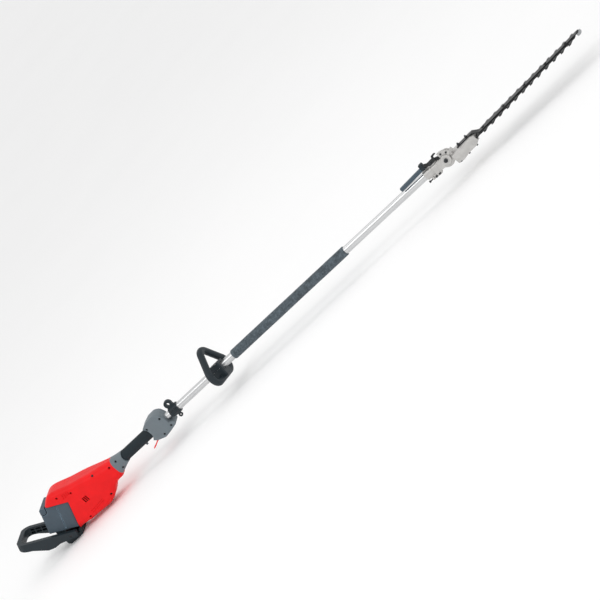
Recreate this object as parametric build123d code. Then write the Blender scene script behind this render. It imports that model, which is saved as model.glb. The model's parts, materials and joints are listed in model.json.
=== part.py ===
from build123d import *
import math
import os

# Long-reach battery hedge trimmer with a tilting cutter head, in millimetres.
# The origin is on the pole's axis, in the free stretch between the harness ring and the loop handle.
# X runs along the pole towards the blades, Z is up and Y is the tool's left.

# Pole and what is clamped on it
TUBE_R, TUBE_WALL = 13.0, 1.5
TUBE_REAR, TUBE_FRONT = -165.0, 1118.0
SHAFT_R = 4.0
SHAFT_REAR = -398.0
BUSH_X = [-120.0, 160.0, 440.0, 720.0, 1000.0]
BUSH_LENGTH = 24.0
FOAM_REAR, FOAM_FRONT, FOAM_R = 192.0, 712.0, 16.5
RUNNING = 0.05
HARNESS_X, HARNESS_LENGTH = -88.0, 34.0
RING_SCREWS = [(HARNESS_X + x, y) for x in (-8, 8) for y in (-21.5, 21.5)]
EAR_Z, EAR_R, EAR_HOLE_R = -25.0, 7.0, 3.2
EYE_Z, EYE_BOSS_R, EYE_R = 28.0, 14.5, 5.6
LOOP_X, LOOP_LENGTH = 119.0, 46.0
LOOP_BAR_R, LOOP_CORNER = 11.5, 27.0
LOOP_APEX_Z, LOOP_BASE_Z, LOOP_HALF = 75.0, -30.0, 95.0
LOOP_ROLL, LOOP_YAW = -11.0, -4.0
CLAMP_SCREWS = [(LOOP_X + x, y) for x in (-13, 13) for y in (-18, 18)]

# Rear unit: (x, top, bottom, half width, corner radius) of each cross-section
HOUSING_WALL = 3.0
HOUSING_FRONT = -376.0
HOUSING_SECTIONS = [
    (-376, 27, -34, 29, 23),
    (-404, 33, -40, 35, 25),
    (-432, 40, -52, 40, 25),
    (-456, 46, -68, 43, 23),
    (-486, 54, -75, 44, 21),
    (-536, 67, -72, 44, 20),
    (-582, 82, -69, 44, 20),
    (-622, 84, -67, 44, 20),
    (-664, 67, -66, 43, 18),
]
MOTOR_R, MOTOR_REAR, MOTOR_FRONT = 27.0, -482.0, -412.0
HOUSING_SCREWS = [(-388, 14), (-446, 35), (-541, 44), (-590, 63), (-450, -50), (-560, -58)]
HOUSING_HEAD_Y = -36.0
VENT_X, VENT_Z = -522.0, -4.0
GROOVE_FLOOR = 42.0

# Battery and guard, in the battery's own frame: u runs down its slide, w is across it
BATTERY_X, BATTERY_Z, BATTERY_SLOPE = -711.0, -10.0, 27.0
BATTERY_LENGTH, BATTERY_HEIGHT, BATTERY_HALF = 105.0, 96.0, 40.0
BAY_GAP = 1.6
CELL_R, CELL_STEP = 9.0, 19.5
TERMINAL_Y = [-21.0, -7.0, 7.0, 21.0]
GUARD_REAR, GUARD_INNER = -121.0, -103.0
GUARD_HALF, GUARD_LEG = 62.0, 15.0
GUARD_SCREW_U, GUARD_SCREW_W = 73.0, -15.0
FOOT_Z = -84.0

# Rear grip and front housing
NECK_SECTIONS = [
    (-376, 27, -34, 29, 23),
    (-352, 22.5, -25.5, 25, 20),
    (-330, 20.5, -19, 21.5, 18),
    (-306, 18, -15, 17, 14),
]
GRIP_REAR, GRIP_FRONT = -336.0, -204.0
GRIP_Z, GRIP_HALF_Y, GRIP_HALF_Z = 1.5, 18.0, 19.0
CORE_HALF_Y, CORE_HALF_Z = 14.0, 15.0
BULB_HALF, BULB_CORNER, NUB_CORNER, BULB_ROUNDING = 27.0, 22.0, 5.0, 6.0
BULB_SCREWS = [(-138, 18), (-128, -23), (-166, -29), (-198, 20)]
NECK_SCREWS = [(-359, 13), (-357, -17)]
TRIGGER_X, TRIGGER_Z = -188.0, -29.0
LOCK_X = -247.0

# Head: the pivot, and the plates across it
PIVOT_X, PIVOT_Z = 1161.0, -1.0
HEAD_LIFT = 2.4
FORK_OUT, FORK_IN, FORK_HALF_Z = 27.0, 17.5, 15.5
HUB_HALF = 17.0
BOSS_R = 18.0
BARREL_R, BARREL_REAR, BARREL_FRONT = 17.0, 1072.0, 1132.0
SECTOR_R, SECTOR_TEETH, SECTOR_FIRST, SECTOR_LAST = 33.0, 12, 24.0, 106.0
CASE_REAR, CASE_FRONT, CASE_TOP, CASE_BOTTOM, CASE_HALF = 1181.5, 1276.0, -4.5, -36.0, 27.0
COVER_Z = -30.0
CRANK_X = 1245.0
BAR_REAR, BAR_FRONT, BAR_Y, BAR_Z = 988.0, 1083.0, -12.0, 29.5
CLAMP_BOLT_X, CLAMP_BOLT_Z = [1097.0, 1111.0], -22.4
STOP_BOLT_Z = -23.5
SECTOR_SCREW_R, SECTOR_SCREW_ANGLES = 24.5, [45.0, 88.0]
COVER_SCREWS = [(x, y) for x in (1192, 1228) for y in (-24.6, 24.6)] + [(1262, -21), (1262, 21)]
SCREW_SEAT_Z = -36.0
STRIP_SCREWS, STRIP_SCREW_END = [1216.0, 1250.0], -5.4
LATCH_X, LATCH_Z = 1119.0, 27.0

# Bevel train
PINION_R, PINION_TEETH, PINION_TOOTH = 4.9, 8, 1.3
IDLER_R, IDLER_TEETH, IDLER_TOOTH, IDLER_PHASE = 15.0, 16, 1.0, -5.0
OUTPUT_SLOPE = 7.8
CRANK_GEAR_R, CRANK_TEETH, CRANK_TOP, CRANK_TOOTH = 21.5, 24, -13.5, 0.7
CRANK_PINION_R, CRANK_PINION_TEETH = 3.0, 6
ECCENTRIC_R = 6.5

# Blades
BLADE_T, BLADE_ROOT_X, BLADE_END_X = 2.0, 1222.0, 1716.0
BODY_ROOT, BODY_END = 18.0, 14.0
UPPER_Z, LOWER_Z, GUIDE_Z = -20.8, -23.1, -18.6
STROKE, REST_SHIFT = 4.5, 2.25
TOOTH_FIRST, TOOTH_PITCH, TOOTH_COUNT, TOOTH_REACH = 1319.0, 34.2, 12, 35.0
BLADE_BOLTS = [1309.0, 1402.0, 1495.0, 1588.0, 1676.0]
TIP_X = 1737.0


def slab(points, y_low, y_high, radius=0.0):
    """A flat piece: an outline in XZ, with its corners rounded, from y_low to y_high."""
    line = FilletPolyline(*points, radius=radius, close=True) if radius else Polyline(*points, close=True)
    return Pos(0, y_high, 0) * extrude(Plane.XZ * make_face(line), amount=y_high - y_low)


def plan(points, z_low, z_high, radius=0.0):
    """A flat piece: an outline in XY, with its corners rounded, from z_low to z_high."""
    line = FilletPolyline(*points, radius=radius, close=True) if radius else Polyline(*points, close=True)
    return Pos(0, 0, z_low) * extrude(make_face(line), amount=z_high - z_low)


def rod_x(r, x_low, x_high, y=0.0, z=0.0):
    return Pos((x_low + x_high) / 2, y, z) * Rot(Y=90) * Cylinder(r, x_high - x_low)


def rod_y(r, y_low, y_high, x, z):
    return Pos(x, (y_low + y_high) / 2, z) * Rot(X=90) * Cylinder(r, y_high - y_low)


def rod_z(r, z_low, z_high, x, y=0.0):
    return Pos(x, y, (z_low + z_high) / 2) * Cylinder(r, z_high - z_low)


def block(x, y, z, rounding=0.0):
    """A box from (low, high) pairs along X, Y and Z."""
    made = Pos((x[0] + x[1]) / 2, (y[0] + y[1]) / 2, (z[0] + z[1]) / 2) * Box(
        x[1] - x[0], y[1] - y[0], z[1] - z[0]
    )
    return fillet(made.edges(), rounding) if rounding else made


def body_of_sections(sections, inset=0.0):
    """A smooth body through rounded cross-sections, made smaller all round by inset."""
    faces = []
    for x, top, bottom, half, corner in sections:
        shape = RectangleRounded(2 * (half - inset), top - bottom - 2 * inset, corner - inset)
        faces.append(Plane((x, 0, (top + bottom) / 2), x_dir=(0, 1, 0), z_dir=(1, 0, 0)) * shape)
    return loft(faces)


def oval_rod(half_y, half_z, x_low, x_high, z):
    face = Plane((x_low, 0, z), x_dir=(0, 1, 0), z_dir=(1, 0, 0)) * Ellipse(half_y, half_z)
    return extrude(face, amount=x_high - x_low)


def coil(radius, wire, height, turns):
    path = Helix(height / turns, height, radius)
    section = Plane(path @ 0, z_dir=path % 0) * Circle(wire)
    return sweep(section, path=path, is_frenet=True)


def right_and_left(solid):
    """The two clamshell halves of a solid, split on the tool's middle plane."""
    far = 2000.0
    right = solid & block((-far, far), (-far, 0), (-far, far))
    left = solid & block((-far, far), (0, far), (-far, far))
    return right, left


def screws_y(places, y_head, length, head_r=3.6, shank_r=1.8):
    """Screws driven from the right-hand side, heads at y_head."""
    made = []
    for x, z in places:
        head = rod_y(head_r, y_head, y_head + 3.0, x, z)
        socket = rod_y(1.6, y_head - 1, y_head + 1.6, x, z)
        made.append(head - socket + rod_y(shank_r, y_head + 3.0, y_head + length, x, z))
    return made


def screw_wells(places, y_head, length, head_r=4.0, shank_r=1.8):
    """What is cut out of two shells so that screws_y fit: counterbores and holes."""
    wells = []
    for x, z in places:
        wells.append(rod_y(head_r, -70, y_head + 3.0, x, z))
        wells.append(rod_y(shank_r, y_head + 2.0, y_head + length, x, z))
    return wells


def in_battery(thing):
    return Pos(BATTERY_X, 0, BATTERY_Z) * Rot(Y=BATTERY_SLOPE) * thing


def in_head(thing):
    return Pos(PIVOT_X, 0, PIVOT_Z) * Rot(Y=-HEAD_LIFT) * Pos(-PIVOT_X, 0, -PIVOT_Z) * thing


def polar(radius, degrees):
    """A point round the head's pivot, counted upwards from the pole's direction."""
    a = math.radians(degrees)
    return PIVOT_X + radius * math.cos(a), PIVOT_Z + radius * math.sin(a)


parts = {}

# ---------------------------------------------------------------- pole
tube = rod_x(TUBE_R, TUBE_REAR, TUBE_FRONT) - rod_x(TUBE_R - TUBE_WALL, TUBE_REAR - 1, TUBE_FRONT + 1)
parts["pole_tube"] = tube
bore = TUBE_R - TUBE_WALL
parts["shaft_bushes"] = [
    rod_x(bore, x - BUSH_LENGTH / 2, x + BUSH_LENGTH / 2)
    - rod_x(SHAFT_R + RUNNING, x - BUSH_LENGTH, x + BUSH_LENGTH)
    for x in BUSH_X
]
foam = rod_x(FOAM_R, FOAM_REAR, FOAM_FRONT)
foam = fillet(foam.edges(), 2.5)
parts["foam_grip"] = foam - rod_x(TUBE_R, FOAM_REAR - 1, FOAM_FRONT + 1)

# ---------------------------------------------------------------- harness ring
half_length = HARNESS_LENGTH / 2
ring = rod_x(TUBE_R + 5, HARNESS_X - half_length, HARNESS_X + half_length)
ring = chamfer(ring.edges(), 1.2)
ring += block((HARNESS_X - 15, HARNESS_X + 15), (-25, 25), (-5.5, 5.5), 2.0)
ring += rod_y(EYE_BOSS_R, -5, 5, HARNESS_X - 2, EYE_Z)
ring += slab([(HARNESS_X - 13, 8), (HARNESS_X - 14, 24), (HARNESS_X + 9, 28), (HARNESS_X + 15, 8)], -5, 5)
ring += rod_y(EAR_R, -3, 3, HARNESS_X, EAR_Z) + block(
    (HARNESS_X - 5, HARNESS_X + 5), (-3, 3), (-22, -15)
)
ring -= rod_x(TUBE_R + RUNNING, HARNESS_X - 30, HARNESS_X + 30)
ring -= rod_y(EYE_R, -9, 9, HARNESS_X - 2, EYE_Z)
ring -= rod_y(EAR_HOLE_R, -9, 9, HARNESS_X, EAR_Z)
for x, y in RING_SCREWS:
    ring -= rod_z(1.8, -9, 9, x, y)
parts["harness_ring_upper"] = ring & block((-200, 0), (-50, 50), (0.4, 60))
parts["harness_ring_lower"] = ring & block((-200, 0), (-50, 50), (-60, -0.4))
parts["harness_screws"] = [
    rod_z(3.0, 5.5, 8.0, x, y) - rod_z(1.5, 6.6, 9.0, x, y) + rod_z(1.8, -5.5, 5.5, x, y)
    for x, y in RING_SCREWS
]

# ---------------------------------------------------------------- loop handle
loop_corners = [(0, LOOP_APEX_Z + 18), (LOOP_HALF + 8, LOOP_BASE_Z), (-LOOP_HALF - 8, LOOP_BASE_Z)]
loop_plane = Plane((LOOP_X, 0, 0), x_dir=(0, 1, 0), z_dir=(1, 0, 0))
loop_path = loop_plane * FilletPolyline(*loop_corners, radius=LOOP_CORNER, close=True)
start = loop_path @ 0
loop_bar = sweep(Plane(start, z_dir=loop_path % 0) * Circle(LOOP_BAR_R), path=loop_path)
saddle = block(
    (LOOP_X - LOOP_LENGTH / 2, LOOP_X + LOOP_LENGTH / 2), (-23, 23), (LOOP_BASE_Z - 4, 20), 4.0
)
saddle_bore = rod_x(TUBE_R + RUNNING, LOOP_X - 60, LOOP_X + 60)
loop_bar = Pos(LOOP_X, 0, 0) * Rot(Z=LOOP_YAW) * Pos(-LOOP_X, 0, 0) * loop_bar
clamp_lower = (saddle & block((0, 300), (-80, 80), (-60, -0.5))) + loop_bar
clamp_lower -= saddle_bore
clamp_upper = (saddle & block((0, 300), (-80, 80), (0.5, 60))) - saddle_bore
for dx in (-16, 0, 16):
    clamp_upper -= block((LOOP_X + dx - 2, LOOP_X + dx + 2), (-7, 7), (17.5, 30))
for x, y in CLAMP_SCREWS:
    hole = rod_z(2.5, -16, 30, x, y)
    clamp_upper -= hole + rod_z(4.6, 15, 30, x, y)
    clamp_lower -= hole
clamp_screws = [
    rod_z(4.4, 15, 19, x, y) - rod_z(2.0, 16.5, 20, x, y) + rod_z(2.5, -16, 15, x, y)
    for x, y in CLAMP_SCREWS
]
parts["loop_handle"] = Rot(X=LOOP_ROLL) * clamp_lower
parts["loop_clamp_cap"] = Rot(X=LOOP_ROLL) * clamp_upper
parts["loop_clamp_screws"] = [Rot(X=LOOP_ROLL) * s for s in clamp_screws]

# ---------------------------------------------------------------- motor housing
outer = body_of_sections(HOUSING_SECTIONS)
inner = body_of_sections(HOUSING_SECTIONS, HOUSING_WALL)
bay_u = BATTERY_LENGTH + BAY_GAP
bay_w = BATTERY_HEIGHT + BAY_GAP
bay = in_battery(block((-300, bay_u), (-80, 80), (-300, bay_w)))
bay_wall = in_battery(
    block((-300, bay_u + HOUSING_WALL), (-80, 80), (-300, bay_w + HOUSING_WALL))
)
shell = outer - bay
hollow = inner - bay_wall - block((-700, -655), (-80, 80), (-200, 200))
hollow -= block((HOUSING_FRONT - 5, 0), (-80, 80), (-80, 80))
bosses = Part() + [rod_y(6.0, -60, 60, x, z) for x, z in HOUSING_SCREWS]
shell -= hollow - bosses
shell -= rod_x(20, HOUSING_FRONT - 8, HOUSING_FRONT + 1)
for well in screw_wells(HOUSING_SCREWS[1:], HOUSING_HEAD_Y, 62):
    shell -= well
for well in screw_wells(HOUSING_SCREWS[:1], HOUSING_HEAD_Y + 12, 42):
    shell -= well
for side in (-1, 1):
    face = (38, 60) if side > 0 else (-60, -38)
    for k in (-1, 0, 1):
        low = VENT_X + k * 7.0 - 2.2
        shell -= block((low, low + 4.4), face, (VENT_Z - 10, VENT_Z + 10))
    rim = (GROOVE_FLOOR, 60) if side > 0 else (-60, -GROOVE_FLOOR)
    for k in (0, 1):
        groove = [(-541, -45 - 7 * k), (-541, -48 - 7 * k), (-482, -42.5 - 7 * k), (-482, -39.5 - 7 * k)]
        shell -= slab(groove, *rim)
    for k in range(4):
        x = -574 + 8 * k
        slit = [(x, 44), (x + 6, 60), (x + 8.4, 60), (x + 2.4, 44)]
        shell -= slab(slit, *rim)
parts["housing_right"], parts["housing_left"] = right_and_left(shell)
shell_screws = screws_y(HOUSING_SCREWS[1:], HOUSING_HEAD_Y, 60) + screws_y(
    HOUSING_SCREWS[:1], HOUSING_HEAD_Y + 12, 40
)

# ---------------------------------------------------------------- motor and electronics
can = rod_x(MOTOR_R, MOTOR_REAR, MOTOR_FRONT) - rod_x(MOTOR_R - 2.5, MOTOR_REAR + 3, MOTOR_FRONT - 3)
can -= rod_x(6.0, MOTOR_REAR - 5, MOTOR_FRONT + 5)
for k in range(6):
    can -= Rot(X=60 * k) * block((MOTOR_REAR - 1, MOTOR_REAR + 4), (-3, 3), (12, 21))
parts["motor_can"] = can
stator = rod_x(MOTOR_R - 2.5, -470, -424) - rod_x(15.5, -471, -423)
for k in range(9):
    stator -= Rot(X=40 * k) * block((-471, -423), (-1.3, 1.3), (15, 22))
parts["motor_stator"] = stator
parts["motor_rotor"] = [rod_x(14.8, -468, -426) - rod_x(SHAFT_R, -469, -425), rod_x(SHAFT_R, -478, -404)]
bearing = rod_x(6.0, 0, 3) - rod_x(SHAFT_R + RUNNING, -1, 4)
front_bearing = rod_x(8.0, 1120, 1126) - rod_x(SHAFT_R + RUNNING, 1119, 1127)
motor_bearings = [Pos(x, 0, 0) * bearing for x in (MOTOR_REAR, MOTOR_FRONT - 3)]
parts["shaft_bearings"] = motor_bearings + [front_bearing]
coupling = rod_x(7.5, -409, -389) - rod_x(SHAFT_R, -410, -404) - rod_x(SHAFT_R, SHAFT_REAR, -388)
coupling -= block((-402.5, -400.5), (-9, 9), (-2, 2))
parts["shaft_coupling"] = coupling
mount_plate = rod_x(30.0, -412, -409) - rod_x(8.0, -413, -408)
mount_plate = mount_plate & body_of_sections(HOUSING_SECTIONS, HOUSING_WALL)
for x, z in HOUSING_SCREWS[:2]:
    mount_plate -= rod_y(6.2, -60, 60, x, z)
parts["motor_plate"] = mount_plate
board = block((-560, -494), (-30, 30), (-36, -34))
capacitors = [rod_z(5.5, -34, -16, x, y) for x in (-548, -534) for y in (-16, 0, 16)]
chips = [block((x, x + 9), (y, y + 9), (-34, -31)) for x in (-520, -506) for y in (-22, -4, 14)]
parts["controller_board"] = [board] + capacitors + chips
front_u = BATTERY_LENGTH + BAY_GAP + HOUSING_WALL
terminal = block((front_u, front_u + 12), (-30, 30), (20, 48), 1.5)
parts["terminal_block"] = in_battery(terminal)
parts["terminal_blades"] = [
    in_battery(block((BATTERY_LENGTH - 9, front_u), (y - 0.6, y + 0.6), (26, 40))) for y in TERMINAL_Y
]
for name in ("housing_right", "housing_left"):
    for y in TERMINAL_Y:
        window = in_battery(block((BATTERY_LENGTH, front_u + 0.5), (y - 0.6, y + 0.6), (26, 40)))
        parts[name] -= window

# ---------------------------------------------------------------- battery
case = block((0, BATTERY_LENGTH), (-BATTERY_HALF, BATTERY_HALF), (0, BATTERY_HEIGHT), 3.5)
case -= block((3, BATTERY_LENGTH - 14), (-BATTERY_HALF + 3, BATTERY_HALF - 3), (3, 68))
latch_notch = slab([(-10, 70), (16, 70), (24, 78), (24, 110), (-10, 110)], -60, 60, 5.0)
case -= latch_notch
for side in (-1, 1):
    y = (BATTERY_HALF - 1.2, BATTERY_HALF + 5) if side > 0 else (-BATTERY_HALF - 5, -BATTERY_HALF + 1.2)
    case -= block((60, 63), y, (8, 88))
for y in TERMINAL_Y:
    case -= block((BATTERY_LENGTH - 11, BATTERY_LENGTH + 1), (y - 1.3, y + 1.3), (24, 42))
parts["battery_case"] = in_battery(case)
parts["battery_cells"] = [
    in_battery(rod_y(CELL_R, -33, 33, 14 + CELL_STEP * i, 13 + CELL_STEP * j))
    for i in range(4)
    for j in range(3)
]
latch = slab([(-0.5, 72), (14, 72), (19.5, 78), (19.5, 95), (4, 95), (-0.5, 90)], -38, 38, 2.5)
for k in range(4):
    latch -= block((-2, 0.6), (-20, 20), (75 + 3.6 * k, 76.6 + 3.6 * k))
parts["battery_latch"] = in_battery(latch)

# ---------------------------------------------------------------- battery tray and guard
tray_points = [(-604, -67.5), (-606, -78), (-617, FOOT_Z), (-685, FOOT_Z), (-693, -76), (-693, 0), (-604, 0)]
tray = slab(tray_points, -38, 38, 4.0) - slab(
    [(-616, -40), (-616, -79.5), (-681, -79.5), (-681, -40)], -33, 33, 2.0
)
under = in_battery(block((-100, 106), (-90, 90), (-1.2, 200)))
front = in_battery(block((106, 300), (-90, 90), (-300, 300)))
tray = tray - under - front - outer
tray -= block((-668, -632), (-60, 60), (-73, -66))
tray -= in_battery(rod_y(2.5, -60, 60, GUARD_SCREW_U, GUARD_SCREW_W))
parts["battery_tray"] = tray

side_shape = [
    (GUARD_REAR, -2), (96, -2), (96, -22), (51, -28), (30, -31), (8, -41), (-16, -44), (-68, -31),
    (GUARD_REAR, -27),
]
guard = slab(side_shape, -GUARD_HALF, GUARD_HALF, 4.0)
plan_out = [(GUARD_REAR, -GUARD_HALF), (150, -GUARD_HALF), (150, GUARD_HALF), (GUARD_REAR, GUARD_HALF)]
guard &= plan(plan_out, -60, 20, 34.0)
inner_half = GUARD_HALF - GUARD_LEG
plan_in = [(GUARD_INNER, -inner_half), (190, -inner_half), (190, inner_half), (GUARD_INNER, inner_half)]
guard -= plan(plan_in, -60, 20, 20.0)
for side in (-1, 1):
    y = side * (GUARD_HALF - GUARD_LEG / 2)
    foot = rod_y(9, min(side * 38.2, side * 50), max(side * 38.2, side * 50), GUARD_SCREW_U, GUARD_SCREW_W)
    guard += foot
    guard -= rod_y(2.5, -80, 80, GUARD_SCREW_U, GUARD_SCREW_W)
    guard -= rod_y(5.0, *sorted((side * 58, side * 80)), GUARD_SCREW_U, GUARD_SCREW_W)
    inside = sorted((side * (inner_half - 1), side * (inner_half + 9)))
    for k in range(6):
        u = -94 + 22 * k
        guard -= block((u, u + 18), inside, (-26, -18)) + block((u, u + 18), inside, (-15.5, -8))
guard -= Pos(GUARD_REAR + 12, -GUARD_HALF + 12, 0) * Rot(Z=45) * rod_x(5.5, -20, -1, 0, -15)
parts["guard_hoop"] = in_battery(guard)
parts["guard_screws"] = [
    in_battery(
        rod_y(4.6, *sorted((side * 58, side * 61)), GUARD_SCREW_U, GUARD_SCREW_W)
        - rod_y(2.0, *sorted((side * 59.5, side * 64)), GUARD_SCREW_U, GUARD_SCREW_W)
        + rod_y(2.5, *sorted((side * 30, side * 58)), GUARD_SCREW_U, GUARD_SCREW_W)
    )
    for side in (-1, 1)
]

# ---------------------------------------------------------------- rear grip and front housing
core = oval_rod(CORE_HALF_Y, CORE_HALF_Z, -345, -200, GRIP_Z)
neck = body_of_sections(NECK_SECTIONS)
scoop = slab([(GRIP_REAR, -40), (GRIP_REAR, 40), (-260, 40), (-260, -40)], -60, 60)
scoop_end = rod_y(34, -60, 60, GRIP_REAR + 34, GRIP_Z)
recess = scoop & (scoop_end + block((-300, -200), (-60, 60), (-60, 60)))
neck = (neck - recess) + core
bulb_outline = [
    (-222, 16), (-206, 31), (-178, 40), (-150, 41), (-133, 31), (-127, 12), (-127, -12), (-113, -18),
    (-114, -31), (-150, -38), (-172, -41), (-200, -31), (-222, -14),
]
bulb_face = make_face(Polyline(*bulb_outline, close=True))
is_nub = lambda corner: corner.X > -130 and corner.Y < -5
bulb_face = fillet(bulb_face.vertices().filter_by(is_nub, reverse=True), BULB_CORNER)
bulb_face = fillet(bulb_face.vertices().filter_by(is_nub), NUB_CORNER)
bulb = Pos(0, BULB_HALF, 0) * extrude(Plane.XZ * bulb_face, amount=2 * BULB_HALF)
bulb = fillet(bulb.edges().filter_by(lambda edge: abs(edge.center().Y) > BULB_HALF - 0.1), BULB_ROUNDING)
bulb = bulb & body_of_sections(
    [
        (-230, 60, -60, 17, 12), (-200, 60, -60, 23, 12), (-165, 60, -60, 27, 12),
        (-130, 60, -60, 25, 12), (-98, 60, -60, 18, 12),
    ]
)
grip_cut = rod_y(30, -60, 60, -229, 4)
bulb -= grip_cut & oval_rod(60, 60, -260, -200, 0)
handle = neck + bulb
handle -= rod_x(8.0, -380, -160)
handle -= rod_x(TUBE_R, TUBE_REAR, -60)
trigger_well = block((-203, -128), (-11, 11), (-38, -15))
trigger_side = [(-203, -60), (-203, -15), (-135, -15), (-135, -28), (-190, -34), (-190, -60)]
handle -= trigger_well & slab(trigger_side, -60, 60)
trigger_window = slab([(-212, -60), (-212, -17), (-190, -17), (-190, -60)], -9, 9)
handle -= trigger_window & bulb
handle -= rod_z(4.3, -40, -5, LOCK_X)
for well in screw_wells(BULB_SCREWS[:3], -22, 40) + screw_wells(BULB_SCREWS[3:], -16, 30):
    handle -= well
for well in screw_wells(NECK_SCREWS, -20, 36):
    handle -= well
parts["handle_shell_right"], parts["handle_shell_left"] = right_and_left(handle)
shell_screws += screws_y(BULB_SCREWS[:3], -22, 38) + screws_y(BULB_SCREWS[3:], -16, 28)
parts["shell_screws"] = shell_screws + screws_y(NECK_SCREWS, -20, 34)
rubber = oval_rod(GRIP_HALF_Y, GRIP_HALF_Z, GRIP_REAR, GRIP_FRONT, GRIP_Z) & (
    scoop_end + block((-304, -200), (-60, 60), (-60, 60))
)
rubber = rubber - neck - bulb - rod_z(4.3, -40, -5, LOCK_X)
parts["rubber_grip"] = rubber
parts["lock_button"] = fillet(rod_z(4.0, -23.5, -9.0, LOCK_X).edges().group_by(Axis.Z)[0], 1.5)
parts["lock_spring"] = Pos(LOCK_X, 0, -8.5) * coil(2.4, 0.4, 3.0, 3)

# ---------------------------------------------------------------- trigger and switch
blade = [
    (TRIGGER_X + 6, TRIGGER_Z + 5), (TRIGGER_X + 6, TRIGGER_Z - 3), (TRIGGER_X - 8, TRIGGER_Z - 4),
    (TRIGGER_X - 26, TRIGGER_Z - 9), (TRIGGER_X - 44, TRIGGER_Z - 16.5), (TRIGGER_X - 53, TRIGGER_Z - 19),
    (TRIGGER_X - 52, TRIGGER_Z - 15), (TRIGGER_X - 42, TRIGGER_Z - 12), (TRIGGER_X - 25, TRIGGER_Z - 4.5),
    (TRIGGER_X - 9, TRIGGER_Z + 1), (TRIGGER_X - 5, TRIGGER_Z + 5),
]
trigger = slab(blade, -7.5, 7.5, 1.0) - rod_y(2.05, -20, 20, TRIGGER_X, TRIGGER_Z)
parts["trigger"] = trigger
parts["trigger_pin"] = rod_y(2.0, -13, 13, TRIGGER_X, TRIGGER_Z)
for name in ("handle_shell_right", "handle_shell_left"):
    parts[name] -= rod_y(2.0, -13, 13, TRIGGER_X, TRIGGER_Z)
parts["switch"] = block((-178, -148), (-6.5, 6.5), (-27, -16), 1.0)
parts["trigger_spring"] = Pos(TRIGGER_X + 3, 0, TRIGGER_Z + 5.6) * coil(2.0, 0.35, 5.5, 4)

# ---------------------------------------------------------------- knuckle on the pole
barrel = rod_x(BARREL_R, BARREL_REAR, BARREL_FRONT - 8)
fork = block((1106, BARREL_FRONT), (-FORK_OUT, FORK_OUT), (PIVOT_Z - FORK_HALF_Z, PIVOT_Z + FORK_HALF_Z), 6.0)
cheeks = Part()
for side in (-1, 1):
    y = sorted((side * FORK_IN, side * (FORK_OUT - 2)))
    cheek = slab([(1118, -15), (1118, 13), (PIVOT_X, 14.5), (PIVOT_X, -16.5)], *y)
    boss = rod_y(BOSS_R, *sorted((side * FORK_IN, side * FORK_OUT)), PIVOT_X, PIVOT_Z)
    rim = boss.edges().sort_by(Axis.Y)[0 if side < 0 else -1]
    cheeks += cheek + fillet(rim, 4.5)
casting = barrel + fork
casting -= block((BARREL_FRONT - 6, BARREL_FRONT + 2), (-FORK_IN, FORK_IN), (-30, 30))
casting += cheeks
lug = block((1090, 1118), (-9, 9), (-27.5, -10), 2.0)
stop_lug = block((1079, 1087), (-5, 5), (-27.5, -12), 1.5)
casting += lug + stop_lug
casting -= rod_x(TUBE_R, BARREL_REAR - 1, TUBE_FRONT)
casting -= rod_x(8.0, 1100, 1140)
casting -= block((1060, 1119), (-1, 1), (-30, 0))
casting -= rod_y(4.05, -40, 40, PIVOT_X, PIVOT_Z)
for x in CLAMP_BOLT_X:
    casting -= rod_y(2.0, -20, 20, x, CLAMP_BOLT_Z)
casting -= rod_x(2.0, 1060, 1090, 0, STOP_BOLT_Z)
parts["knuckle_casting"] = casting
clamp_bolts = [
    rod_y(3.6, -12.5, -9, x, CLAMP_BOLT_Z) - rod_y(1.7, -14, -10.8, x, CLAMP_BOLT_Z)
    + rod_y(2.0, -9, 9, x, CLAMP_BOLT_Z)
    for x in CLAMP_BOLT_X
]
stop_bolt = rod_x(2.0, 1068, 1086, 0, STOP_BOLT_Z) + rod_x(3.8, 1064, 1068, 0, STOP_BOLT_Z)


def wheel_points(root, tip, first, last, count):
    """The rim of a toothed sector: a trapezium tooth for each step from first to last degrees."""
    step = (last - first) / count
    points = []
    for k in range(count):
        a = first + k * step
        for share, radius in ((0.0, root), (0.3, root), (0.45, tip), (0.75, tip), (0.9, root)):
            points.append(polar(radius, a + share * step))
    return points


rim = wheel_points(SECTOR_R - 2.2, SECTOR_R + 1.0, SECTOR_FIRST, SECTOR_LAST, SECTOR_TEETH)
sector = slab([polar(10, 65), polar(17, 10)] + rim + [polar(17, 120)], -21.5, -FORK_IN)
sector -= rod_y(BOSS_R, -40, 0, PIVOT_X, PIVOT_Z) + block((1100, PIVOT_X), (-30, 0), (-30, 15.6))
sector_places = [polar(SECTOR_SCREW_R, a) for a in SECTOR_SCREW_ANGLES]
for x, z in sector_places:
    sector -= rod_y(2.0, -40, 0, x, z)
parts["position_sector"] = sector
sector_screws = [
    rod_y(3.2, -23.5, -21.5, x, z) - rod_y(1.4, -24, -22.6, x, z) + rod_y(2.0, -21.5, -FORK_IN, x, z)
    for x, z in sector_places
]
parts["knuckle_screws"] = clamp_bolts + [stop_bolt] + sector_screws
bolt = rod_y(4.0, -27, 30, PIVOT_X, PIVOT_Z) + rod_y(6.5, -31, -27, PIVOT_X, PIVOT_Z)
bolt -= rod_y(2.9, -32, -28.6, PIVOT_X, PIVOT_Z)
pivot_nut = (
    Pos(PIVOT_X, 29.5, PIVOT_Z) * Rot(X=90) * extrude(RegularPolygon(7, 6), amount=2.5, both=True)
    - rod_y(4.0, 20, 40, PIVOT_X, PIVOT_Z)
)
parts["pivot_bolt"] = [bolt, pivot_nut]


def crown(radius, teeth, thick, tooth):
    """A wheel with its axis on Z and low teeth on its upper face."""
    made = Cylinder(radius, thick, align=(Align.CENTER, Align.CENTER, Align.MAX))
    for k in range(teeth):
        made += Rot(Z=360 * k / teeth) * Pos(radius * 0.77, 0, tooth / 2) * Box(
            radius * 0.44, 1.2, tooth
        )
    return made


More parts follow.
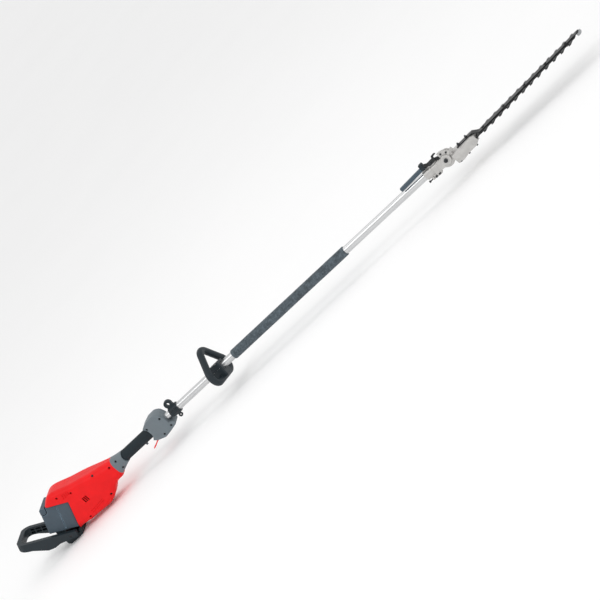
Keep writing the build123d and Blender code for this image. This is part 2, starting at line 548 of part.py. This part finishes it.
def pinion(teeth, radius, length):
    """A small wheel with its axis on X, starting at X = 0."""
    made = rod_x(radius - PINION_TOOTH, 0, length)
    for k in range(teeth):
        made += Rot(X=360 * k / teeth) * Pos(length / 2, 0, radius - PINION_TOOTH / 2 - 0.1) * Box(
            length, 1.2, PINION_TOOTH + 0.2
        )
    return made


# ---------------------------------------------------------------- drive
parts["drive_shaft"] = rod_x(SHAFT_R, SHAFT_REAR, 1132)
parts["input_pinion"] = rod_x(6.0, 1132, 1146, 0, 0) + rod_x(2.6, 1146, 1153)
input_wheel = Pos(1146.5, 0, 0) * Rot(X=-90 + 360 / PINION_TEETH / 2) * pinion(PINION_TEETH, PINION_R, 6)
parts["input_pinion"] += input_wheel
idler = Rot(X=90) * Rot(Z=IDLER_PHASE) * crown(IDLER_R, IDLER_TEETH, 4.5, IDLER_TOOTH)
idler -= rod_y(4.05, -40, 40, 0, 0)
parts["idler_gear"] = Pos(PIVOT_X, 5.6, PIVOT_Z) * idler


def on_output(thing):
    """Along the head's inclined output shaft, X = 0 at the pivot."""
    return Pos(PIVOT_X, 0, PIVOT_Z) * Rot(Y=OUTPUT_SLOPE) * thing


# ---------------------------------------------------------------- gear case
nose = [
    (CASE_REAR, CASE_TOP), (1262, CASE_TOP), (CASE_FRONT, CASE_TOP - 5), (CASE_FRONT, -30),
    (1264, CASE_BOTTOM), (1226, CASE_BOTTOM), (1203, -40), (CASE_REAR, -37),
]
wide = slab(nose, -CASE_HALF, CASE_HALF, 3.0)
wide_plan = [
    (CASE_REAR - 5, -CASE_HALF), (1258, -CASE_HALF), (CASE_FRONT, -17), (CASE_FRONT, 17),
    (1258, CASE_HALF), (CASE_REAR - 5, CASE_HALF),
]
wide &= plan(wide_plan, -60, 20, 9.0)
drum_cut = slab([polar(0, 0), polar(60, -152), (1130, -70), (1215, -70), (1215, 8), polar(60, 22)], -30, 30)
drum = (rod_y(27.5, -HUB_HALF, HUB_HALF, PIVOT_X, PIVOT_Z) & drum_cut) + slab(
    [polar(22, -62), (1200, -38), (1200, CASE_TOP), (1180, CASE_TOP)], -HUB_HALF, HUB_HALF
)
ears = rod_y(16.0, -HUB_HALF, HUB_HALF, PIVOT_X, PIVOT_Z)
gear_space = rod_y(24.0, -12, 12, PIVOT_X, PIVOT_Z) + rod_y(16.6, -12, 12, PIVOT_X, PIVOT_Z)
gear_space += block((1120, PIVOT_X), (-12, 12), (-15, 20))
pinion_slot = [polar(10, -160), polar(45, -160), polar(45, -125), polar(45, -84), polar(10, -84)]
gear_space += slab(pinion_slot, -7.5, 7.5)
case_body = wide + drum + ears + on_output(rod_x(5.5, 20, 45))
case_body -= gear_space
room_plan = [(1203, -23.5), (1250, -23.5), (1268, -14), (1268, 14), (1250, 23.5), (1203, 23.5)]
room_side = [(1203, CASE_TOP - 3.5), (1268, CASE_TOP - 3.5), (1268, -31.5), (1258, -34), (1203, -34)]
case_body -= plan(room_plan, -60, 0, 2.0) & slab(room_side, -30, 30, 1.5)
case_body -= on_output(rod_x(2.65, 15, 72))
case_body -= block((1203, 1240), (-4.2, 4.2), (-12, -5.9))
case_body -= block((1262, 1290), (-17, 17), (LOWER_Z - 3.5, GUIDE_Z + 0.6))
case_body -= rod_y(4.05, -40, 40, PIVOT_X, PIVOT_Z)
cover_region = block((CASE_REAR + 4, 1300), (-60, 60), (-80, COVER_Z))
cover = case_body & cover_region
case_body -= cover_region
for x, y in COVER_SCREWS:
    case_body -= rod_z(1.8, COVER_Z - 10, COVER_Z + 8, x, y)
    cover -= rod_z(1.8, -60, COVER_Z + 1, x, y) + rod_z(3.4, -60, SCREW_SEAT_Z, x, y)
for x in STRIP_SCREWS:
    case_body -= rod_z(2.5, STRIP_SCREW_END, 0, x)
cover -= rod_z(5.0 + RUNNING, -33.2, -20, CRANK_X)
parts["gear_case"] = in_head(case_body)
parts["gear_case_cover"] = in_head(cover)
parts["case_screws"] = [
    in_head(
        rod_z(3.2, SCREW_SEAT_Z - 3, SCREW_SEAT_Z, x, y)
        - rod_z(1.5, SCREW_SEAT_Z - 4, SCREW_SEAT_Z - 1.4, x, y)
        + rod_z(1.8, SCREW_SEAT_Z, COVER_Z + 8, x, y)
    )
    for x, y in COVER_SCREWS
]

# ---------------------------------------------------------------- output gears
output = rod_x(2.6, 8.0, 64.0)
clear_wheel = Pos(8.5, 0, 0) * pinion(PINION_TEETH, PINION_R - 1.1, 5.5)
drive_wheel = Pos(64.0, 0, 0) * Rot(X=180) * pinion(CRANK_PINION_TEETH, CRANK_PINION_R, 6.0)
parts["output_shaft"] = in_head(on_output(output + clear_wheel + drive_wheel))
crank = crown(CRANK_GEAR_R, CRANK_TEETH, 4.0, CRANK_TOOTH)
crank = Pos(CRANK_X, 0, CRANK_TOP) * Rot(Z=180 / CRANK_TEETH) * crank
crank += rod_z(5.0, -33.0, CRANK_TOP, CRANK_X)
crank += rod_z(ECCENTRIC_R, UPPER_Z, CRANK_TOP - 4.0, CRANK_X, STROKE)
crank += rod_z(ECCENTRIC_R, LOWER_Z, UPPER_Z, CRANK_X, -STROKE)
parts["crank_gear"] = in_head(crank)


# ---------------------------------------------------------------- blades
def half_width(x):
    """Half the width of a blade's body, which tapers towards the tip."""
    return BODY_ROOT - (BODY_ROOT - BODY_END) * (x - 1300.0) / (BLADE_END_X - 1300.0)


def blade(z_low, shift):
    end = half_width(BLADE_END_X)
    outline = [(BLADE_ROOT_X, -16), (1290, -16), (1300, -BODY_ROOT), (BLADE_END_X, -end)]
    outline += [(x, -y) for x, y in reversed(outline)]
    z = (z_low, z_low + BLADE_T)
    made = plan(outline, *z, 1.5)
    for k in range(TOOTH_COUNT):
        x = TOOTH_FIRST + k * TOOTH_PITCH
        root = half_width(x) - 1.5
        for side in (-1, 1):
            tooth = [(x - 10, side * root), (x - 4, side * TOOTH_REACH), (x + 4, side * TOOTH_REACH),
                     (x + 10, side * root)]
            made += plan(tooth, *z)
    reach = STROKE + ECCENTRIC_R + STROKE + 0.6
    rear, front = CRANK_X - reach, CRANK_X + reach
    made -= plan([(rear, -11.5), (front, -11.5), (front, 11.5), (rear, 11.5)], z[0] - 1, z[1] + 1, 9.0)
    for x in BLADE_BOLTS:
        length = STROKE + 3.45
        made -= plan([(x - length, -3.3), (x + length, -3.3), (x + length, 3.3), (x - length, 3.3)],
                     z[0] - 1, z[1] + 1, 3.2)
    return Pos(shift, 0, 0) * made


parts["blade_upper"] = in_head(blade(UPPER_Z, REST_SHIFT))
parts["blade_lower"] = in_head(blade(LOWER_Z, -REST_SHIFT))
guide_side = [
    (1208, CASE_TOP), (1208, CASE_TOP + 3), (1274, CASE_TOP + 3), (1292, GUIDE_Z + 3), (1731, GUIDE_Z + 3),
    (1731, GUIDE_Z), (1290, GUIDE_Z), (1272, CASE_TOP),
]
guide_plan = [
    (1208, -11), (1286, -11), (1304, -15), (1731, -11), (1731, 11), (1304, 15), (1286, 11), (1208, 11),
]
guide = slab(guide_side, -30, 30) & plan(guide_plan, -60, 20, 3.0)
for x in BLADE_BOLTS + [1727.0]:
    guide -= rod_z(3.0 if x < BLADE_END_X else 2.0, -40, 0, x)
for x in STRIP_SCREWS:
    guide -= rod_z(2.5, -10, 5, x)
parts["guide_bar"] = in_head(guide)
bar_screws = [
    in_head(
        rod_z(2.5, STRIP_SCREW_END, CASE_TOP + 3, x) + rod_z(4.5, CASE_TOP + 3, CASE_TOP + 6, x)
        + Pos(x, 0, CASE_TOP + 8.5) * Cone(4.0, 2.2, 5.0)
    )
    for x in STRIP_SCREWS
]
bar_screws += [
    in_head(rod_z(3.0, -27.5, GUIDE_Z + 3, x) + rod_z(4.8, GUIDE_Z + 3, GUIDE_Z + 5.6, x)
            - rod_z(1.8, GUIDE_Z + 4.2, GUIDE_Z + 7, x))
    for x in BLADE_BOLTS
]
parts["blade_nuts"] = [
    in_head(Pos(x, 0, -27.0) * extrude(RegularPolygon(5.2, 6), amount=3.6) - rod_z(3.0, -30, -20, x))
    for x in BLADE_BOLTS
]
tip = plan([(1722.5, -13), (TIP_X, -13), (TIP_X, 13), (1722.5, 13)], -27.5, GUIDE_Z, 6.0)
tip = fillet(tip.edges().group_by(Axis.Z)[0], 2.0)
parts["tip_guard"] = in_head(tip - rod_z(2.0, -24, 0, 1727))
tip_screw = rod_z(2.0, -24, GUIDE_Z + 3, 1727) + rod_z(3.4, GUIDE_Z + 3, GUIDE_Z + 4.6, 1727)
parts["guide_bar_screws"] = bar_screws + [in_head(tip_screw)]

# ---------------------------------------------------------------- tilt lever and latch
arm = slab(
    [
        (BAR_FRONT, 22), (BAR_FRONT, 32), (1128, 32), (1146, 25), polar(15, 70), polar(8, 60), polar(8, 190),
        polar(22, 140), (1131, 22),
    ],
    -16.8, -12.2, 2.0,
)
arm -= rod_y(16.0, -40, 40, PIVOT_X, PIVOT_Z)
arm -= rod_y(2.5, -40, 0, LATCH_X, LATCH_Z)
parts["tilt_arm"] = in_head(arm)
bar = block((BAR_REAR, BAR_FRONT), (BAR_Y - 6.5, BAR_Y + 6.5), (BAR_Z - 6.3, BAR_Z + 6.3), 3.0)
parts["tilt_bar"] = in_head(bar)
knob = block((BAR_FRONT, BAR_FRONT + 15), (BAR_Y - 8, BAR_Y + 8), (BAR_Z - 6, BAR_Z + 16), 3.0)
knob -= block((BAR_FRONT - 1, BAR_FRONT + 20), (-16.8, -12.2), (0, 32))
parts["tilt_knob"] = in_head(knob)
lever = slab(
    [
        (1099, 38), (1106, 39), (1118, 31.5), (1133, 30.5), (1139, 41), (1150, 42), (1155, 38), (1150, 36.5),
        (1144, 36), (1140, 25), (1134, 21), (1115, 21), (1099, 32),
    ],
    -25.6, -22.2, 1.0,
)
tooth_block = slab([(1146, 36.6), (1146, 41), (1151, 40.5), (1154.2, 37.4), (1153.5, 35.6)], -22.2, -17.9)
lever = lever + tooth_block - rod_y(2.5 + RUNNING, -40, 0, LATCH_X, LATCH_Z)
parts["latch_lever"] = in_head(lever)
latch_pin = rod_y(2.5, -26.4, -12.2, LATCH_X, LATCH_Z) + rod_y(4.0, -27.6, -26.4, LATCH_X, LATCH_Z)
latch_coil = Rot(X=90) * coil(3.4, 0.45, 4.0, 4)
parts["latch_pin"] = [in_head(latch_pin), in_head(Pos(LATCH_X, -17.3, LATCH_Z) * latch_coil)]

# ---------------------------------------------------------------- write
os.makedirs("parts", exist_ok=True)
for name, made in parts.items():
    pieces = made if isinstance(made, list) else [made]
    solids = [solid for piece in pieces for solid in piece.solids()]
    export_step(Compound(children=solids), os.path.join("parts", name + ".step"))
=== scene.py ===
import json
import math
import bmesh
import bpy
from mathutils import Matrix, Vector, noise


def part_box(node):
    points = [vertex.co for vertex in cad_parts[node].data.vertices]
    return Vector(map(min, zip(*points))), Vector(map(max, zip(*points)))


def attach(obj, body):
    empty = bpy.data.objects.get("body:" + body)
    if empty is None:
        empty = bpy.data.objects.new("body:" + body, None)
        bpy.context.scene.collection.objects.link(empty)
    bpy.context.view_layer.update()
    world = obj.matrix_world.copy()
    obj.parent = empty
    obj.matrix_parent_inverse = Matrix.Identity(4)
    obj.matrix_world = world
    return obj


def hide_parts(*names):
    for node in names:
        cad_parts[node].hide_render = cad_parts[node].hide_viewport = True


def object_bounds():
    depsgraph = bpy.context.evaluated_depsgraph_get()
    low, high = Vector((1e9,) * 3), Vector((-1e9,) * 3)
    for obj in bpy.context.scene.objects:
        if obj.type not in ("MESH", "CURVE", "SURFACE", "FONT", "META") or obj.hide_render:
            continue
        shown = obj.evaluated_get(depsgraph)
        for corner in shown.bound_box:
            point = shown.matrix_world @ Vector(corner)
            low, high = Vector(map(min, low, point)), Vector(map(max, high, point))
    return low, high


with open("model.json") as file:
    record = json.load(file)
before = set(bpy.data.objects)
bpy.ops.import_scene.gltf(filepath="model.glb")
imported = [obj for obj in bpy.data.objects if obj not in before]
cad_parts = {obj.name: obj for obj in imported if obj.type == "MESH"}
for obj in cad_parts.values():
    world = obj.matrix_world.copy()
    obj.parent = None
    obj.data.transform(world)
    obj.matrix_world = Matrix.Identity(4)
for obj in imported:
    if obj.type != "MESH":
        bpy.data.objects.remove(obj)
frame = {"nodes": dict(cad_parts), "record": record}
cad_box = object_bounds()
NODES = frame["nodes"]
MM = 0.001


# ---------------------------------------------------------------- materials
class Graph:
    """A material's node tree, with short calls for the nodes used here."""

    def __init__(self, name):
        self.material = bpy.data.materials.new(name)
        self.material.use_nodes = True
        self.tree = self.material.node_tree
        self.shader = self.tree.nodes["Principled BSDF"]

    def node(self, kind, inputs=(), **settings):
        made = self.tree.nodes.new(kind)
        for key, value in settings.items():
            setattr(made, key, value)
        for key, value in dict(inputs).items():
            if isinstance(value, bpy.types.NodeSocket):
                self.tree.links.new(value, made.inputs[key])
            else:
                made.inputs[key].default_value = value
        return made

    def place(self):
        return self.node("ShaderNodeTexCoord").outputs["Object"]

    def stretched(self, scale):
        mapping = self.node("ShaderNodeMapping", {"Vector": self.place(), "Scale": scale})
        return mapping.outputs["Vector"]

    def noise(self, scale, detail=3.0, rough=0.5, vector=None):
        made = self.node(
            "ShaderNodeTexNoise",
            {"Vector": vector or self.place(), "Scale": scale, "Detail": detail, "Roughness": rough},
        )
        return made.outputs["Fac"]

    def math(self, operation, a, b=0.0):
        return self.node("ShaderNodeMath", {0: a, 1: b}, operation=operation).outputs[0]

    def ranged(self, value, low, high, to_low, to_high):
        made = self.node(
            "ShaderNodeMapRange",
            {"Value": value, "From Min": low, "From Max": high, "To Min": to_low, "To Max": to_high},
            clamp=True,
        )
        return made.outputs["Result"]

    def mixed(self, share, a, b):
        made = self.node("ShaderNodeMix", {0: share}, data_type="RGBA")
        colours = [s for s in made.inputs if s.type == "RGBA"]
        for socket, value in zip(colours, (a, b)):
            if isinstance(value, bpy.types.NodeSocket):
                self.tree.links.new(value, socket)
            else:
                socket.default_value = (*value, 1.0)
        return [s for s in made.outputs if s.type == "RGBA"][0]

    def edges(self, radius):
        """(a mask that is 1 along outside and inside edges, the rounded normal)"""
        bevel = self.node("ShaderNodeBevel", {"Radius": radius}, samples=6)
        geometry = self.node("ShaderNodeNewGeometry")
        dot = self.node(
            "ShaderNodeVectorMath",
            {0: bevel.outputs["Normal"], 1: geometry.outputs["Normal"]},
            operation="DOT_PRODUCT",
        )
        return self.ranged(dot.outputs["Value"], 0.99, 0.86, 0.0, 1.0), bevel.outputs["Normal"]

    def bump(self, height, distance, strength, normal):
        made = self.node(
            "ShaderNodeBump",
            {"Height": height, "Distance": distance, "Strength": strength, "Normal": normal},
        )
        self.tree.links.new(made.outputs["Normal"], self.shader.inputs["Normal"])
        return made.outputs["Normal"]

    def colour(self, value):
        self.tree.links.new(value, self.shader.inputs["Base Color"])

    def rough(self, value):
        self.tree.links.new(value, self.shader.inputs["Roughness"])

    def set(self, **values):
        names = {"metallic": "Metallic", "coat": "Coat Weight", "coat_rough": "Coat Roughness",
                 "ior": "IOR", "sheen": "Sheen Weight", "specular": "Specular IOR Level"}
        for key, value in values.items():
            self.shader.inputs[names[key]].default_value = value


def shade(colour, by):
    return tuple(min(1.0, c * by) for c in colour)


def moulded(name, colour, rough, grain=1500.0, edge_wear_and_highlight=1.5, edge=0.5, seam=False, gloss=0.0, shine=0.28):
    """Injection-moulded plastic: spark-eroded grain, faint blotches, edges painted lighter, partly as rubbed
    wear and partly as a painted highlight.

    edge_wear_and_highlight multiplies the colour on edges of about edge millimetres, partly rubbed wear and
    partly a painted highlight;
    seam draws the split line of two half shells on the plane Y = 0.
    """
    g = Graph(name)
    mask, normal = g.edges(edge * MM)
    blotch = g.noise(22.0, 4.0, 0.6)
    fine = g.noise(grain, 2.0, 0.7)
    scuff = g.noise(160.0, 5.0, 0.75)
    base = g.mixed(g.ranged(blotch, 0.3, 0.7, 0.0, 1.0), shade(colour, 0.93), shade(colour, 1.07))
    # Edges painted lighter: partly rubbed wear, partly a painted highlight along the rounded edges.
    rub_and_highlight = g.math("MULTIPLY", mask, g.ranged(scuff, 0.35, 0.62, 0.15, 0.8))
    base = g.mixed(rub_and_highlight, base, shade(colour, edge_wear_and_highlight))
    height = fine
    if seam:
        split = g.node("ShaderNodeSeparateXYZ", {"Vector": g.place()})
        across = g.math("ABSOLUTE", split.outputs["Y"])
        line = g.ranged(across, 0.12 * MM, 0.32 * MM, 1.0, 0.0)
        base = g.mixed(g.math("MULTIPLY", line, 0.75), base, shade(colour, 0.18))
        height = g.math("SUBTRACT", height, g.math("MULTIPLY", line, 4.0))
    g.colour(base)
    g.rough(g.ranged(scuff, 0.3, 0.7, rough - 0.07, rough + 0.09))
    g.bump(height, 0.12 * MM, 0.5, normal)
    g.set(specular=shine)
    if gloss:
        g.set(coat=gloss, coat_rough=0.2)
    return g.material


def rubbery(name, colour):
    """Soft rubber: a matt skin with fine pimples."""
    g = Graph(name)
    mask, normal = g.edges(0.7 * MM)
    cells = g.node("ShaderNodeTexVoronoi", {"Vector": g.place(), "Scale": 900.0}, feature="F1")
    dust = g.noise(35.0, 5.0, 0.7)
    base = g.mixed(g.ranged(dust, 0.35, 0.75, 0.0, 1.0), shade(colour, 0.85), shade(colour, 1.3))
    # Edges painted lighter: partly wear, partly a painted highlight along the rounded edges.
    base = g.mixed(g.math("MULTIPLY", mask, 0.3), base, shade(colour, 1.8))
    g.colour(base)
    g.rough(g.ranged(dust, 0.3, 0.7, 0.62, 0.8))
    g.bump(cells.outputs["Distance"], 0.25 * MM, 0.35, normal)
    g.set(specular=0.25)
    return g.material


def foamed(name, colour):
    """Closed-cell foam sleeve: blotchy charcoal skin with small open pores."""
    g = Graph(name)
    blotch = g.noise(55.0, 6.0, 0.72)
    patches = g.noise(170.0, 4.0, 0.65)
    pores = g.node("ShaderNodeTexVoronoi", {"Vector": g.place(), "Scale": 620.0}, feature="F1")
    base = g.mixed(g.ranged(blotch, 0.38, 0.64, 0.0, 1.0), shade(colour, 0.62), shade(colour, 1.35))
    base = g.mixed(g.ranged(patches, 0.5, 0.66, 0.0, 0.5), base, shade(colour, 2.0))
    pit = g.ranged(pores.outputs["Distance"], 0.0, 0.32, 1.0, 0.0)
    base = g.mixed(g.math("MULTIPLY", pit, 0.6), base, shade(colour, 0.3))
    g.colour(base)
    g.rough(g.ranged(blotch, 0.3, 0.7, 0.82, 0.95))
    height = g.math("SUBTRACT", patches, g.math("MULTIPLY", pit, 0.7))
    geometry = g.node("ShaderNodeNewGeometry")
    g.bump(height, 0.5 * MM, 0.55, geometry.outputs["Normal"])
    g.set(sheen=0.1, specular=0.2)
    return g.material


def metal(name, colour, rough, streaks):
    """Drawn, ground or machined metal: streaks along one direction, edges painted brighter, partly wear and
    partly a painted highlight.
    """
    g = Graph(name)
    mask, normal = g.edges(0.3 * MM)
    lines = g.noise(1.0, 3.0, 0.6, g.stretched(streaks))
    smudge = g.noise(14.0, 5.0, 0.65)
    base = g.mixed(g.ranged(lines, 0.3, 0.7, 0.0, 1.0), shade(colour, 0.86), shade(colour, 1.08))
    base = g.mixed(g.ranged(smudge, 0.45, 0.75, 0.0, 0.35), base, shade(colour, 0.8))
    # Edges painted brighter: partly wear, partly a painted highlight along the rounded edges.
    base = g.mixed(g.math("MULTIPLY", mask, 0.6), base, shade(colour, 1.35))
    g.colour(base)
    g.rough(g.ranged(g.math("ADD", lines, smudge), 0.7, 1.3, rough - 0.06, rough + 0.12))
    g.bump(lines, 0.05 * MM, 0.2, normal)
    g.set(metallic=1.0)
    return g.material


def cast(name, colour, rough):
    """Die-cast light alloy, tumbled: a fine orange-peel skin, darker in its hollows."""
    g = Graph(name)
    mask, normal = g.edges(0.8 * MM)
    skin = g.noise(420.0, 4.0, 0.6)
    flow = g.noise(60.0, 4.0, 0.55)
    base = g.mixed(g.ranged(flow, 0.35, 0.7, 0.0, 1.0), shade(colour, 0.9), shade(colour, 1.06))
    base = g.mixed(g.ranged(skin, 0.55, 0.75, 0.0, 0.35), base, shade(colour, 0.78))
    # Edges painted lighter: partly wear, partly a painted highlight along the rounded edges.
    base = g.mixed(g.math("MULTIPLY", mask, 0.55), base, shade(colour, 1.3))
    g.colour(base)
    g.rough(g.ranged(skin, 0.3, 0.7, rough - 0.08, rough + 0.1))
    g.bump(g.math("ADD", skin, flow), 0.25 * MM, 0.3, normal)
    g.set(metallic=0.6)
    return g.material


def blackened(name, colour, rough):
    """Black-coated steel with thin spots and bright edges, the edges partly coating wear and partly a
    painted highlight.
    """
    g = Graph(name)
    mask, normal = g.edges(0.35 * MM)
    mottle = g.noise(90.0, 6.0, 0.7)
    fine = g.noise(1.0, 3.0, 0.6, g.stretched((60.0, 700.0, 700.0)))
    base = g.mixed(g.ranged(mottle, 0.4, 0.7, 0.0, 1.0), shade(colour, 0.8), shade(colour, 1.6))
    # Edges painted bright: partly coating wear, partly a painted highlight along the rounded edges.
    base = g.mixed(g.math("MULTIPLY", mask, g.ranged(mottle, 0.4, 0.6, 0.2, 0.85)), base, shade(colour, 7.0))
    g.colour(base)
    g.rough(g.ranged(mottle, 0.3, 0.7, rough - 0.1, rough + 0.1))
    g.bump(fine, 0.05 * MM, 0.25, normal)
    g.set(metallic=0.6)
    return g.material


RED = (0.82, 0.012, 0.014)
SLATE = (0.062, 0.088, 0.112)
GREY = (0.155, 0.185, 0.205)
BLACK = (0.016, 0.024, 0.030)
FINISHES = {
    "red_plastic": moulded("red_plastic", RED, 0.40, edge_wear_and_highlight=1.12, seam=True, gloss=0.05, shine=0.12),
    "slate_plastic": moulded("slate_plastic", SLATE, 0.42, edge_wear_and_highlight=5.0, edge=3.0),
    "grey_plastic": moulded("grey_plastic", GREY, 0.5, edge_wear_and_highlight=1.5, seam=True),
    "black_plastic": moulded("black_plastic", BLACK, 0.42, edge_wear_and_highlight=3.0, edge=0.8),
    "red_trigger": moulded("red_trigger", RED, 0.3, grain=2500.0, edge_wear_and_highlight=1.1, gloss=0.3),
    "black_rubber": rubbery("black_rubber", (0.014, 0.022, 0.027)),
    "foam": foamed("foam", (0.078, 0.098, 0.113)),
    "tube_aluminium": metal("tube_aluminium", (0.66, 0.665, 0.67), 0.22, (4.0, 700.0, 700.0)),
    "cast_aluminium": cast("cast_aluminium", (0.55, 0.54, 0.525), 0.38),
    "blade_steel": blackened("blade_steel", (0.024, 0.025, 0.026), 0.42),
    "dark_steel": blackened("dark_steel", (0.035, 0.037, 0.04), 0.35),
    "bright_steel": metal("bright_steel", (0.66, 0.66, 0.66), 0.3, (300.0, 300.0, 300.0)),
    "brass_contact": metal("brass_contact", (0.75, 0.55, 0.25), 0.3, (200.0, 900.0, 200.0)),
    "tip_grey": moulded("tip_grey", (0.34, 0.35, 0.36), 0.42, edge_wear_and_highlight=1.4),
    "circuit_board": moulded("circuit_board", (0.02, 0.14, 0.06), 0.3, grain=3000.0, edge_wear_and_highlight=1.6),
    "cell_wrap": moulded("cell_wrap", (0.05, 0.16, 0.35), 0.35, grain=600.0, edge_wear_and_highlight=1.3),
    "copper_winding": metal("copper_winding", (0.72, 0.32, 0.14), 0.4, (30.0, 1500.0, 1500.0)),
}
for entry in frame["record"]["subparts"]:
    node = NODES[entry["node"]]
    node.data.materials.clear()
    node.data.materials.append(FINISHES[entry["material_slot"]])


# ---------------------------------------------------------------- pieces
def piece(name, made, body, slot):
    """A finished bmesh becomes a named object that rides on a body."""
    mesh = bpy.data.meshes.new(name)
    bmesh.ops.recalc_face_normals(made, faces=made.faces)
    made.to_mesh(mesh)
    made.free()
    for face in mesh.polygons:
        face.use_smooth = True
    obj = bpy.data.objects.new(name, mesh)
    bpy.context.scene.collection.objects.link(obj)
    mesh.materials.append(FINISHES[slot])
    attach(obj, body)
    return obj


def lathe_x(profile, around, wobble):
    """A closed ring of (x, radius) points turned about the pole's axis, in millimetres.

    wobble(x, angle) is added to the radius.
    """
    made = bmesh.new()
    rings = []
    for x, r in profile:
        ring = []
        for k in range(around):
            a = 2 * math.pi * k / around
            reach = r + wobble(x, a)
            ring.append(made.verts.new((x * MM, reach * MM * math.cos(a), reach * MM * math.sin(a))))
        rings.append(ring)
    for i, ring in enumerate(rings):
        ahead = rings[(i + 1) % len(rings)]
        for k in range(around):
            j = (k + 1) % around
            made.faces.new((ring[k], ring[j], ahead[j], ahead[k]))
    return made


# The foam sleeve: rolled ends and a slightly dented skin. All lengths are in millimetres
FOAM_REAR, FOAM_FRONT = (corner[0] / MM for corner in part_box("foam_grip"))
FOAM_R, TUBE_R = 16.5, 13.0
LIP_R, LIP_STEPS = 3.0, 6
END_GAP, SKIN_GAP, BORE_GAP = 0.3, 0.1, 0.04
AROUND, ALONG = 72, 150


def foam_profile():
    """The sleeve's section, from the rear lip along the outside to the front lip, then the bore."""
    turns = [math.pi / 2 * k / LIP_STEPS for k in range(LIP_STEPS + 1)]
    crest = FOAM_R - SKIN_GAP
    lip = [(END_GAP + LIP_R * (1 - math.sin(a)), crest - LIP_R * (1 - math.cos(a))) for a in turns]
    rear, front = FOAM_REAR + LIP_R + 1, FOAM_FRONT - LIP_R - 1
    outer = [(FOAM_REAR + inset, r) for inset, r in reversed(lip)]
    outer += [(rear + (front - rear) * k / ALONG, crest) for k in range(ALONG + 1)]
    outer += [(FOAM_FRONT - inset, r) for inset, r in lip]
    bore = TUBE_R + BORE_GAP
    return outer + [(FOAM_FRONT - END_GAP, bore), (FOAM_REAR + END_GAP, bore)]


def foam_wobble(x, a):
    """Slow dents and a fine unevenness, with none at the ends."""
    spot = Vector((x * 0.02, math.cos(a) * 1.2, math.sin(a) * 1.2))
    fine = Vector((x * 0.11, math.cos(a) * 4.0, math.sin(a) * 4.0))
    at_end = x < FOAM_REAR + 1 or x > FOAM_FRONT - 1
    return 0.0 if at_end else -0.28 + 0.22 * noise.noise(spot) + 0.07 * noise.noise(fine)


foam = piece("foam_sleeve", lathe_x(foam_profile(), AROUND, foam_wobble), "pole_unit", "foam")
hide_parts("foam_grip")


# ---------------------------------------------------------------- floor, light and camera
def stage_floor():
    made = bmesh.new()
    bmesh.ops.create_grid(made, x_segments=2, y_segments=2, size=40.0)
    mesh = bpy.data.meshes.new("floor")
    made.to_mesh(mesh)
    made.free()
    floor = bpy.data.objects.new("floor", mesh)
    floor.location = (0.5, 0.0, cad_box[0][2] - 0.0005)
    bpy.context.scene.collection.objects.link(floor)
    g = Graph("floor_paper")
    tone = g.noise(2.0, 2.0, 0.5)
    g.colour(g.mixed(tone, (0.955, 0.955, 0.955), (0.98, 0.98, 0.98)))
    g.rough(g.ranged(tone, 0.0, 1.0, 0.85, 0.95))
    mesh.materials.append(g.material)


stage_floor()

world = bpy.data.worlds.new("studio")
world.use_nodes = True
world.node_tree.nodes["Background"].inputs["Color"].default_value = (1.0, 1.0, 1.0, 1.0)
world.node_tree.nodes["Background"].inputs["Strength"].default_value = 0.88
bpy.context.scene.world = world
bpy.context.scene.view_settings.view_transform = "Standard"


def area_light(name, place, target, size, energy):
    data = bpy.data.lights.new(name, "AREA")
    data.shape = "RECTANGLE"
    data.size, data.size_y = size
    data.energy = energy
    lamp = bpy.data.objects.new(name, data)
    lamp.location = place
    aim = Vector(target) - Vector(place)
    lamp.rotation_euler = aim.to_track_quat("-Z", "Y").to_euler()
    bpy.context.scene.collection.objects.link(lamp)


area_light("key", (-0.8, -2.6, 3.2), (0.4, 0.0, 0.0), (2.6, 1.6), 24)
area_light("fill", (2.6, -2.8, 1.6), (0.6, 0.0, 0.0), (2.4, 1.6), 8)
area_light("top", (0.5, 0.8, 3.2), (0.5, 0.0, 0.0), (3.4, 1.2), 9)

AIM = Vector((0.484, 0.0, -0.017))
DISTANCE, LENS = 10.3, 200.0
AZIMUTH, ELEVATION, ROLL = (math.radians(a) for a in (25.0, 14.0, 49.37))
back = Vector((
    math.sin(AZIMUTH) * math.cos(ELEVATION),
    -math.cos(AZIMUTH) * math.cos(ELEVATION),
    math.sin(ELEVATION),
))
level = Vector((math.cos(AZIMUTH), math.sin(AZIMUTH), 0.0))
upright = back.cross(level)
right = math.cos(ROLL) * level - math.sin(ROLL) * upright
up = math.sin(ROLL) * level + math.cos(ROLL) * upright
lens = bpy.data.cameras.new("camera")
lens.lens = LENS
lens.clip_end = 200.0
camera = bpy.data.objects.new("camera", lens)
turn = Matrix((right, up, back)).transposed().to_4x4()
camera.matrix_world = Matrix.Translation(AIM + back * DISTANCE) @ turn
bpy.context.scene.collection.objects.link(camera)
bpy.context.scene.camera = camera
